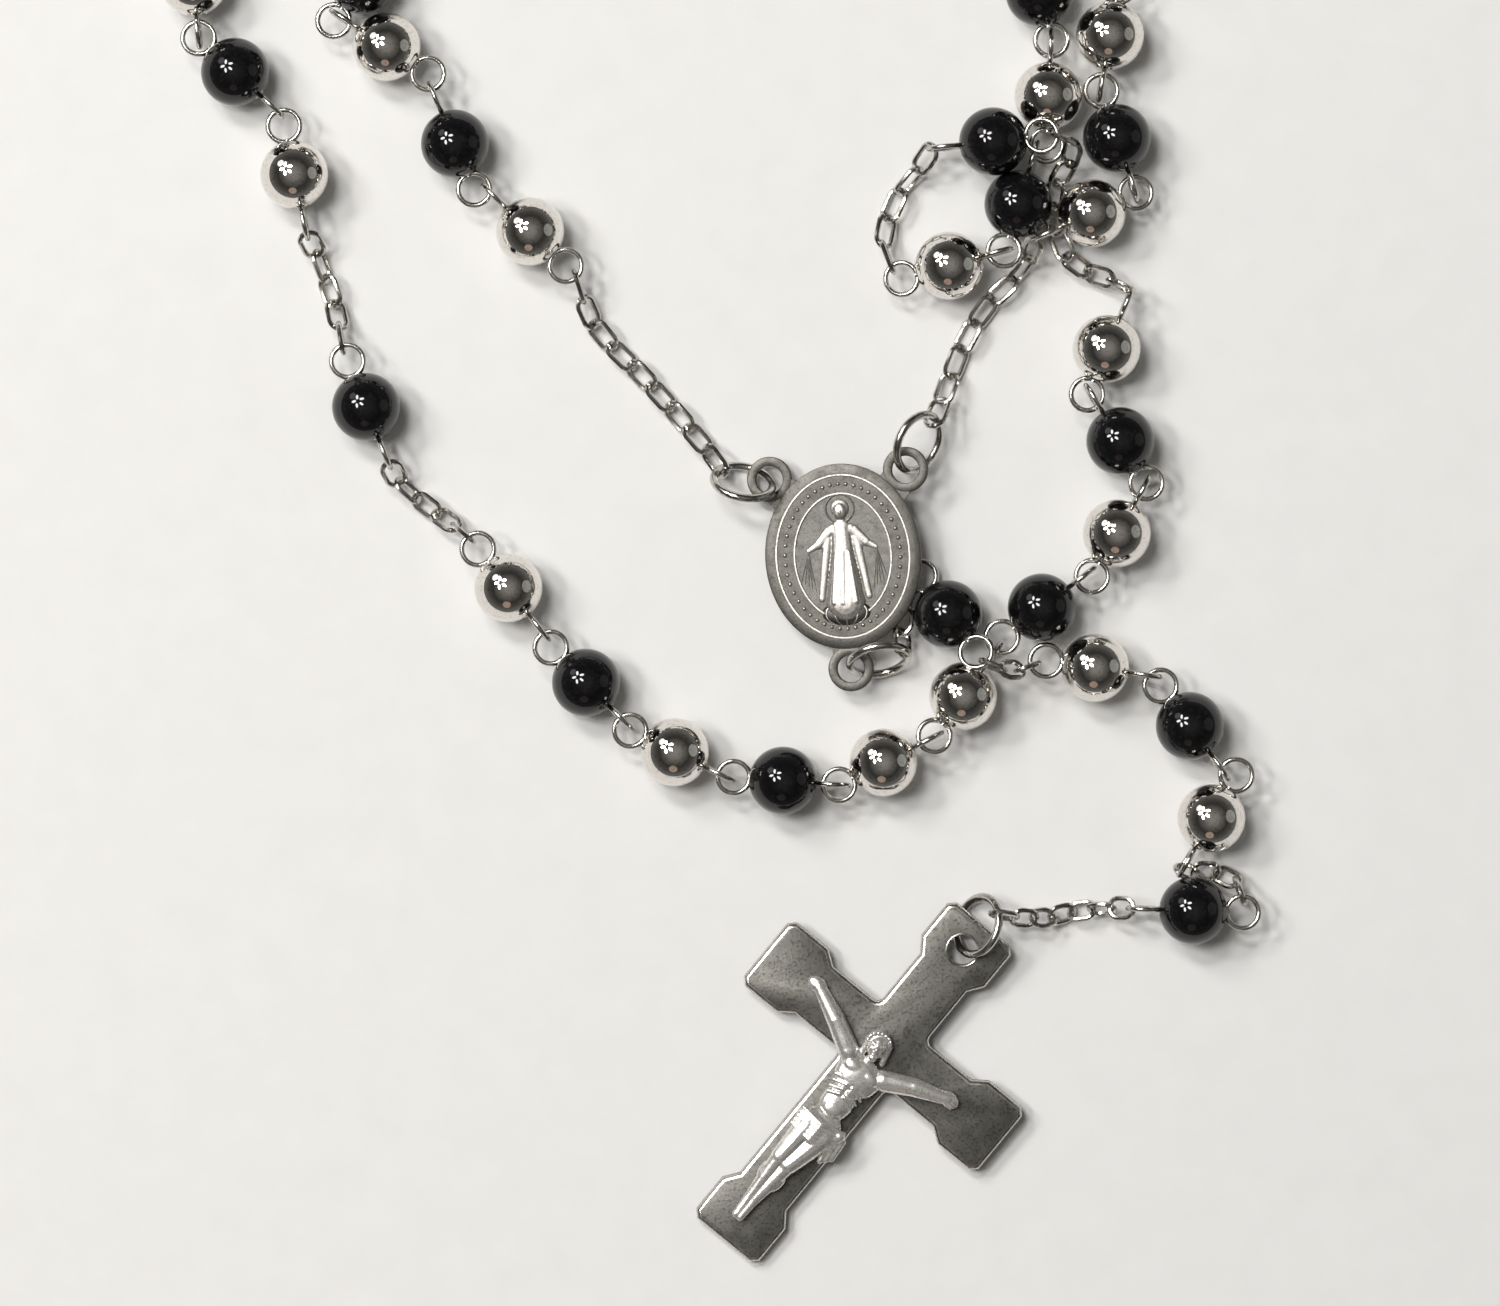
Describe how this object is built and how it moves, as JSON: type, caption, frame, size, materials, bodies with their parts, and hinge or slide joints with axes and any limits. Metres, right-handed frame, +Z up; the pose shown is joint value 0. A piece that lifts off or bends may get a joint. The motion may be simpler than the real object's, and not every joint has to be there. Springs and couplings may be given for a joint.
{
  "type": "rosary",
  "caption": "Rosary of round polished and black beads on linked eye pins, with short spacer chains, an oval centrepiece medal, a bead drop and a crucifix, laid out flat.",
  "frame": {"origin": "on the surface that the rosary lies on, under the middle of the whole layout", "axes": "+Z up from the surface, +Y along the length of the layout towards the far end of the loop, +X to the right"},
  "size_m": [0.0986, 0.197, 0.0073],
  "materials": {
    "polished_steel": "mirror-polished steel beads, wire links, rings and figure",
    "black_gloss": "black glossy bead",
    "satin_steel": "dark satin cast metal of the medal and the cross"
  },
  "bodies": {
    "centerpiece_medal": {"centerpiece_medal": "satin_steel"},
    "cross_plate": {"corpus_figure": "polished_steel", "cross_plate": "satin_steel"},
    "decade1_bead_01": {"decade1_bead_01": "polished_steel"},
    "decade1_bead_02": {"decade1_bead_02": "black_gloss"},
    "decade1_bead_03": {"decade1_bead_03": "polished_steel"},
    "decade1_beads_04_07": {"decade1_beads_04_07": "polished_steel"},
    "decade1_beads_08_10": {"decade1_beads_08_10": "polished_steel"},
    "decade2_bead_08": {"decade2_bead_08": "polished_steel"},
    "decade2_bead_09": {"decade2_bead_09": "black_gloss"},
    "decade2_bead_10": {"decade2_bead_10": "polished_steel"},
    "decade2_beads_01_03": {"decade2_beads_01_03": "polished_steel"},
    "decade2_beads_04_07": {"decade2_beads_04_07": "polished_steel"},
    "decade3_bead_01": {"decade3_bead_01": "polished_steel"},
    "decade3_bead_02": {"decade3_bead_02": "black_gloss"},
    "decade3_bead_03": {"decade3_bead_03": "polished_steel"},
    "decade3_bead_04": {"decade3_bead_04": "black_gloss"},
    "decade3_bead_05": {"decade3_bead_05": "polished_steel"},
    "decade3_bead_06": {"decade3_bead_06": "polished_steel"},
    "decade3_bead_07": {"decade3_bead_07": "black_gloss"},
    "decade3_bead_08": {"decade3_bead_08": "polished_steel"},
    "decade3_bead_09": {"decade3_bead_09": "black_gloss"},
    "decade3_bead_10": {"decade3_bead_10": "polished_steel"},
    "decade4_bead_01": {"decade4_bead_01": "polished_steel"},
    "decade4_bead_02": {"decade4_bead_02": "black_gloss"},
    "decade4_bead_03": {"decade4_bead_03": "polished_steel"},
    "decade4_bead_04": {"decade4_bead_04": "black_gloss"},
    "decade4_beads_05_07": {"decade4_beads_05_07": "polished_steel"},
    "decade4_beads_08_10": {"decade4_beads_08_10": "polished_steel"},
    "decade5_bead_08": {"decade5_bead_08": "polished_steel"},
    "decade5_bead_09": {"decade5_bead_09": "black_gloss"},
    "decade5_bead_10": {"decade5_bead_10": "polished_steel"},
    "decade5_beads_01_03": {"decade5_beads_01_03": "polished_steel"},
    "decade5_beads_04_07": {"decade5_beads_04_07": "polished_steel"},
    "divider_1": {"divider_1": "black_gloss"},
    "divider_4": {"divider_4": "black_gloss"},
    "divider_bead_2": {"divider_bead_2": "black_gloss"},
    "divider_bead_3": {"divider_bead_3": "black_gloss"},
    "drop_bead_1": {"drop_bead_1": "black_gloss"},
    "drop_bead_2": {"drop_bead_2": "polished_steel"},
    "drop_bead_3": {"drop_bead_3": "black_gloss"},
    "drop_bead_4": {"drop_bead_4": "polished_steel"},
    "drop_bead_5": {"drop_bead_5": "black_gloss"},
    "drop_chain_1": {"drop_chain_1": "polished_steel"},
    "drop_chain_2": {"drop_chain_2": "polished_steel"},
    "drop_chain_3": {"drop_chain_3": "polished_steel"},
    "drop_chain_4": {"drop_chain_4": "polished_steel"},
    "ear_chain_left": {"ear_chain_left": "polished_steel"},
    "ear_chain_right": {"ear_chain_right": "polished_steel"},
    "jump_ring_cross": {"jump_ring_cross": "polished_steel"},
    "jump_ring_drop": {"jump_ring_drop": "polished_steel"},
    "jump_ring_left": {"jump_ring_left": "polished_steel"},
    "jump_ring_right": {"jump_ring_right": "polished_steel"},
    "spacer_chain_2a": {"spacer_chain_2a": "polished_steel"},
    "spacer_chain_2b": {"spacer_chain_2b": "polished_steel"},
    "spacer_chain_3a": {"spacer_chain_3a": "polished_steel"},
    "spacer_chain_3b": {"spacer_chain_3b": "polished_steel"}
  },
  "joints": [
    {"name": "jump_ring_left_link", "type": "hinge", "parent": "centerpiece_medal", "child": "jump_ring_left", "pos_m": [0.00594, -0.02893, 0.00145], "axis": [0, 0, 1], "range_deg": [-3.63, 3.63]},
    {"name": "ear_chain_left_link", "type": "hinge", "parent": "jump_ring_left", "child": "ear_chain_left", "pos_m": [0.0018, -0.02823, 0.00161], "axis": [0, 0, -1], "range_deg": [-1.9, 1.9]},
    {"name": "decade1_bead_01_link", "type": "hinge", "parent": "ear_chain_left", "child": "decade1_bead_01", "pos_m": [-0.01115, -0.01101, 0.00305], "axis": [0, 0, -1], "range_deg": [-6.32, 6.32]},
    {"name": "decade1_bead_02_link", "type": "hinge", "parent": "decade1_bead_01", "child": "decade1_bead_02", "pos_m": [-0.0193, -0.00397, 0.00305], "axis": [0, 0, 1], "range_deg": [-4.59, 4.59]},
    {"name": "decade1_bead_03_link", "type": "hinge", "parent": "decade1_bead_02", "child": "decade1_bead_03", "pos_m": [-0.02347, 0.00578, 0.00305], "axis": [0, 0, 1], "range_deg": [-1.43, 1.43]},
    {"name": "decade1_beads_04_07_link", "type": "hinge", "parent": "decade1_bead_03", "child": "decade1_beads_04_07", "pos_m": [-0.03264, 0.01117, 0.00305], "axis": [0, 0, 1], "range_deg": [-1.43, 1.43]},
    {"name": "decade1_beads_08_10_link", "type": "hinge", "parent": "decade1_beads_04_07", "child": "decade1_beads_08_10", "pos_m": [-0.02698, 0.04928, 0.00305], "axis": [0, 0, 1], "range_deg": [-2.85, 2.85]},
    {"name": "jump_ring_right_link", "type": "hinge", "parent": "centerpiece_medal", "child": "jump_ring_right", "pos_m": [0.01786, -0.0281, 0.00335], "axis": [0, 0, 1], "range_deg": [-0.71, 0.76]},
    {"name": "ear_chain_right_link", "type": "hinge", "parent": "jump_ring_right", "child": "ear_chain_right", "pos_m": [0.02029, -0.02401, 0.00308], "axis": [0, 0, -1], "range_deg": [-0.89, 0.95]},
    {"name": "decade5_bead_10_link", "type": "hinge", "parent": "ear_chain_right", "child": "decade5_bead_10", "pos_m": [0.02927, -0.0079, 0.00381], "axis": [0, 0, 1], "range_deg": [-0.1615, 0.1726]},
    {"name": "decade5_bead_09_link", "type": "hinge", "parent": "decade5_bead_10", "child": "decade5_bead_09", "pos_m": [0.03861, -0.00376, 0.00267], "axis": [0, 0, 1], "range_deg": [-0.0153, 0.0164]},
    {"name": "decade5_bead_08_link", "type": "hinge", "parent": "decade5_bead_09", "child": "decade5_bead_08", "pos_m": [0.03478, 0.00541, 0.00305], "axis": [0, 0, 1], "range_deg": [-0.301, 0.339]},
    {"name": "decade5_beads_04_07_link", "type": "hinge", "parent": "decade5_bead_08", "child": "decade5_beads_04_07", "pos_m": [0.03552, 0.01531, 0.00305], "axis": [0, 0, -1], "range_deg": [-0.3329, 0.375]},
    {"name": "decade5_beads_01_03_link", "type": "hinge", "parent": "decade5_beads_04_07", "child": "decade5_beads_01_03", "pos_m": [0.04511, 0.0529, 0.00305], "axis": [0, 0, -1], "range_deg": [-0.027, 0.0305]},
    {"name": "divider_4_link", "type": "hinge", "parent": "decade5_beads_01_03", "child": "divider_4", "pos_m": [0.04373, 0.08308, 0.00305], "axis": [0, 0, 1], "range_deg": [-0.059, 0.0664]},
    {"name": "decade4_beads_08_10_link", "type": "hinge", "parent": "divider_4", "child": "decade4_beads_08_10", "pos_m": [0.02736, 0.07838, 0.00305], "axis": [0, 0, 1], "range_deg": [-0.063, 0.067]},
    {"name": "decade4_beads_05_07_link", "type": "hinge", "parent": "decade4_beads_08_10", "child": "decade4_beads_05_07", "pos_m": [0.02591, 0.04819, 0.00305], "axis": [0, 0, -1], "range_deg": [-0.0951, 0.1011]},
    {"name": "decade4_bead_04_link", "type": "hinge", "parent": "decade4_beads_05_07", "child": "decade4_bead_04", "pos_m": [0.02815, 0.01858, 0.00305], "axis": [0, 0, 1], "range_deg": [-0.0503, 0.0534]},
    {"name": "decade4_bead_03_link", "type": "hinge", "parent": "decade4_bead_04", "child": "decade4_bead_03", "pos_m": [0.03076, 0.00933, 0.00305], "axis": [0, 0, -1], "range_deg": [-0.1357, 0.1443]},
    {"name": "decade4_bead_02_link", "type": "hinge", "parent": "decade4_bead_03", "child": "decade4_bead_02", "pos_m": [0.02978, -0.00019, 0.00271], "axis": [0, 0, 1], "range_deg": [-0.1176, 0.125]},
    {"name": "decade4_bead_01_link", "type": "hinge", "parent": "decade4_bead_02", "child": "decade4_bead_01", "pos_m": [0.02656, -0.0094, 0.00367], "axis": [0, 0, 1], "range_deg": [-0.071, 0.072]},
    {"name": "spacer_chain_3b_link", "type": "hinge", "parent": "decade4_bead_01", "child": "spacer_chain_3b", "pos_m": [0.01657, -0.01106, 0.00251], "axis": [0, 0, -1], "range_deg": [-0.0669, 0.0679]},
    {"name": "divider_bead_3_link", "type": "hinge", "parent": "spacer_chain_3b", "child": "divider_bead_3", "pos_m": [0.0202, 0.00004, 0.00307], "axis": [0, 0, 1], "range_deg": [-0.0615, 0.0624]},
    {"name": "spacer_chain_3a_link", "type": "hinge", "parent": "divider_bead_3", "child": "spacer_chain_3a", "pos_m": [0.0308, 0.00116, 0.00573], "axis": [0, 0, -1], "range_deg": [-0.0656, 0.0665]},
    {"name": "decade3_bead_10_link", "type": "hinge", "parent": "spacer_chain_3a", "child": "decade3_bead_10", "pos_m": [0.03764, -0.01245, 0.00305], "axis": [0, 0, 1], "range_deg": [-0.47, 0.95]},
    {"name": "decade3_bead_09_link", "type": "hinge", "parent": "decade3_bead_10", "child": "decade3_bead_09", "pos_m": [0.03357, -0.02175, 0.00305], "axis": [0, 0, -1], "range_deg": [-0.56, 1.14]},
    {"name": "decade3_bead_08_link", "type": "hinge", "parent": "decade3_bead_09", "child": "decade3_bead_08", "pos_m": [0.03938, -0.0296, 0.00305], "axis": [0, 0, -1], "range_deg": [-0.35, 0.72]},
    {"name": "decade3_bead_07_link", "type": "hinge", "parent": "decade3_bead_08", "child": "decade3_bead_07", "pos_m": [0.03392, -0.03768, 0.00305], "axis": [0, 0, 1], "range_deg": [-0.45, 0.91]},
    {"name": "decade3_bead_06_link", "type": "hinge", "parent": "decade3_bead_07", "child": "decade3_bead_06", "pos_m": [0.02576, -0.04355, 0.00267], "axis": [0, 0, 1], "range_deg": [-1.26, 1.32]},
    {"name": "decade3_bead_05_link", "type": "hinge", "parent": "decade3_bead_06", "child": "decade3_bead_05", "pos_m": [0.02025, -0.05185, 0.00343], "axis": [0, 0, -1], "range_deg": [-2.73, 2.85]},
    {"name": "decade3_bead_04_link", "type": "hinge", "parent": "decade3_bead_05", "child": "decade3_bead_04", "pos_m": [0.01179, -0.05604, 0.00305], "axis": [0, 0, 1], "range_deg": [-1.09, 1.14]},
    {"name": "decade3_bead_03_link", "type": "hinge", "parent": "decade3_bead_04", "child": "decade3_bead_03", "pos_m": [0.00208, -0.05516, 0.00305], "axis": [0, 0, 1], "range_deg": [-1.4, 1.46]},
    {"name": "decade3_bead_02_link", "type": "hinge", "parent": "decade3_bead_03", "child": "decade3_bead_02", "pos_m": [-0.00683, -0.05059, 0.00305], "axis": [0, 0, -1], "range_deg": [-1.02, 1.07]},
    {"name": "decade3_bead_01_link", "type": "hinge", "parent": "decade3_bead_02", "child": "decade3_bead_01", "pos_m": [-0.01385, -0.04287, 0.00305], "axis": [0, 0, 1], "range_deg": [-1.82, 3.68]},
    {"name": "spacer_chain_2b_link", "type": "hinge", "parent": "decade3_bead_01", "child": "spacer_chain_2b", "pos_m": [-0.02038, -0.03417, 0.00305], "axis": [0, 0, -1], "range_deg": [-3.05, 6.17]},
    {"name": "divider_bead_2_link", "type": "hinge", "parent": "spacer_chain_2b", "child": "divider_bead_2", "pos_m": [-0.02744, -0.02769, 0.00305], "axis": [0, 0, 1], "range_deg": [-0.47, 0.94]},
    {"name": "spacer_chain_2a_link", "type": "hinge", "parent": "divider_bead_2", "child": "spacer_chain_2a", "pos_m": [-0.03156, -0.01751, 0.00305], "axis": [0, 0, 1], "range_deg": [-0.77, 1.55]},
    {"name": "decade2_bead_10_link", "type": "hinge", "parent": "spacer_chain_2a", "child": "decade2_bead_10", "pos_m": [-0.03466, -0.00757, 0.00305], "axis": [0, 0, 1], "range_deg": [-2.85, 3.81]},
    {"name": "decade2_bead_09_link", "type": "hinge", "parent": "decade2_bead_10", "child": "decade2_bead_09", "pos_m": [-0.03696, 0.00311, 0.00305], "axis": [0, 0, -1], "range_deg": [-3.55, 4.75]},
    {"name": "decade2_bead_08_link", "type": "hinge", "parent": "decade2_bead_09", "child": "decade2_bead_08", "pos_m": [-0.04457, 0.00989, 0.00305], "axis": [0, 0, -1], "range_deg": [-1.89, 2.52]},
    {"name": "decade2_beads_04_07_link", "type": "hinge", "parent": "decade2_bead_08", "child": "decade2_beads_04_07", "pos_m": [-0.04504, 0.0198, 0.00305], "axis": [0, 0, 1], "range_deg": [-2.59, 3.46]},
    {"name": "decade2_beads_01_03_link", "type": "hinge", "parent": "decade2_beads_04_07", "child": "decade2_beads_01_03", "pos_m": [-0.04658, 0.05951, 0.00305], "axis": [0, 0, 1], "range_deg": [-1.43, 1.43]},
    {"name": "divider_1_link", "type": "hinge", "parent": "decade2_beads_01_03", "child": "divider_1", "pos_m": [-0.04456, 0.08965, 0.00305], "axis": [0, 0, 1], "range_deg": [-2.85, 2.85]},
    {"name": "jump_ring_drop_link", "type": "hinge", "parent": "centerpiece_medal", "child": "jump_ring_drop", "pos_m": [0.01309, -0.04558, 0.0024], "axis": [0, 0, 1], "range_deg": [-0.185, 0.475]},
    {"name": "drop_chain_1_link", "type": "hinge", "parent": "jump_ring_drop", "child": "drop_chain_1", "pos_m": [0.01752, -0.04411, 0.00367], "axis": [0, 0, -1], "range_deg": [-0.35, 0.89]},
    {"name": "drop_bead_1_link", "type": "hinge", "parent": "drop_chain_1", "child": "drop_bead_1", "pos_m": [0.01848, -0.03746, 0.0014], "axis": [0, 0, 1], "range_deg": [-0.0549, 0.1409]},
    {"name": "drop_chain_2_link", "type": "hinge", "parent": "drop_bead_1", "child": "drop_chain_2", "pos_m": [0.02463, -0.04497, 0.00493], "axis": [0, 0, 1], "range_deg": [-0.1077, 0.2766]},
    {"name": "drop_bead_2_link", "type": "hinge", "parent": "drop_chain_2", "child": "drop_bead_2", "pos_m": [0.02908, -0.04498, 0.00305], "axis": [0, 0, 1], "range_deg": [-1.4, 2.85]},
    {"name": "drop_bead_3_link", "type": "hinge", "parent": "drop_bead_2", "child": "drop_bead_3", "pos_m": [0.03975, -0.04621, 0.00305], "axis": [0, 0, 1], "range_deg": [-1.86, 3.8]},
    {"name": "drop_bead_4_link", "type": "hinge", "parent": "drop_bead_3", "child": "drop_bead_4", "pos_m": [0.04674, -0.05449, 0.00305], "axis": [0, 0, 1], "range_deg": [-2.33, 4.75]},
    {"name": "drop_chain_3_link", "type": "hinge", "parent": "drop_bead_4", "child": "drop_chain_3", "pos_m": [0.04195, -0.06345, 0.00305], "axis": [0, 0, 1], "range_deg": [-2.33, 4.75]},
    {"name": "drop_bead_5_link", "type": "hinge", "parent": "drop_chain_3", "child": "drop_bead_5", "pos_m": [0.04804, -0.0664, 0.00305], "axis": [0, 0, 1], "range_deg": [-1.4, 2.85]},
    {"name": "drop_chain_4_link", "type": "hinge", "parent": "drop_bead_5", "child": "drop_chain_4", "pos_m": [0.03761, -0.06661, 0.00305], "axis": [0, 0, 1], "range_deg": [-3.72, 7.6]},
    {"name": "jump_ring_cross_link", "type": "hinge", "parent": "drop_chain_4", "child": "jump_ring_cross", "pos_m": [0.02571, -0.06702, 0.00359], "axis": [0, 0, 1], "range_deg": [-4.66, 9.5]},
    {"name": "cross_plate_link", "type": "hinge", "parent": "jump_ring_cross", "child": "cross_plate", "pos_m": [0.02288, -0.0703, 0.00176], "axis": [0.7727, -0.6347, 0], "range_deg": [0, 13.3]}
  ]
}
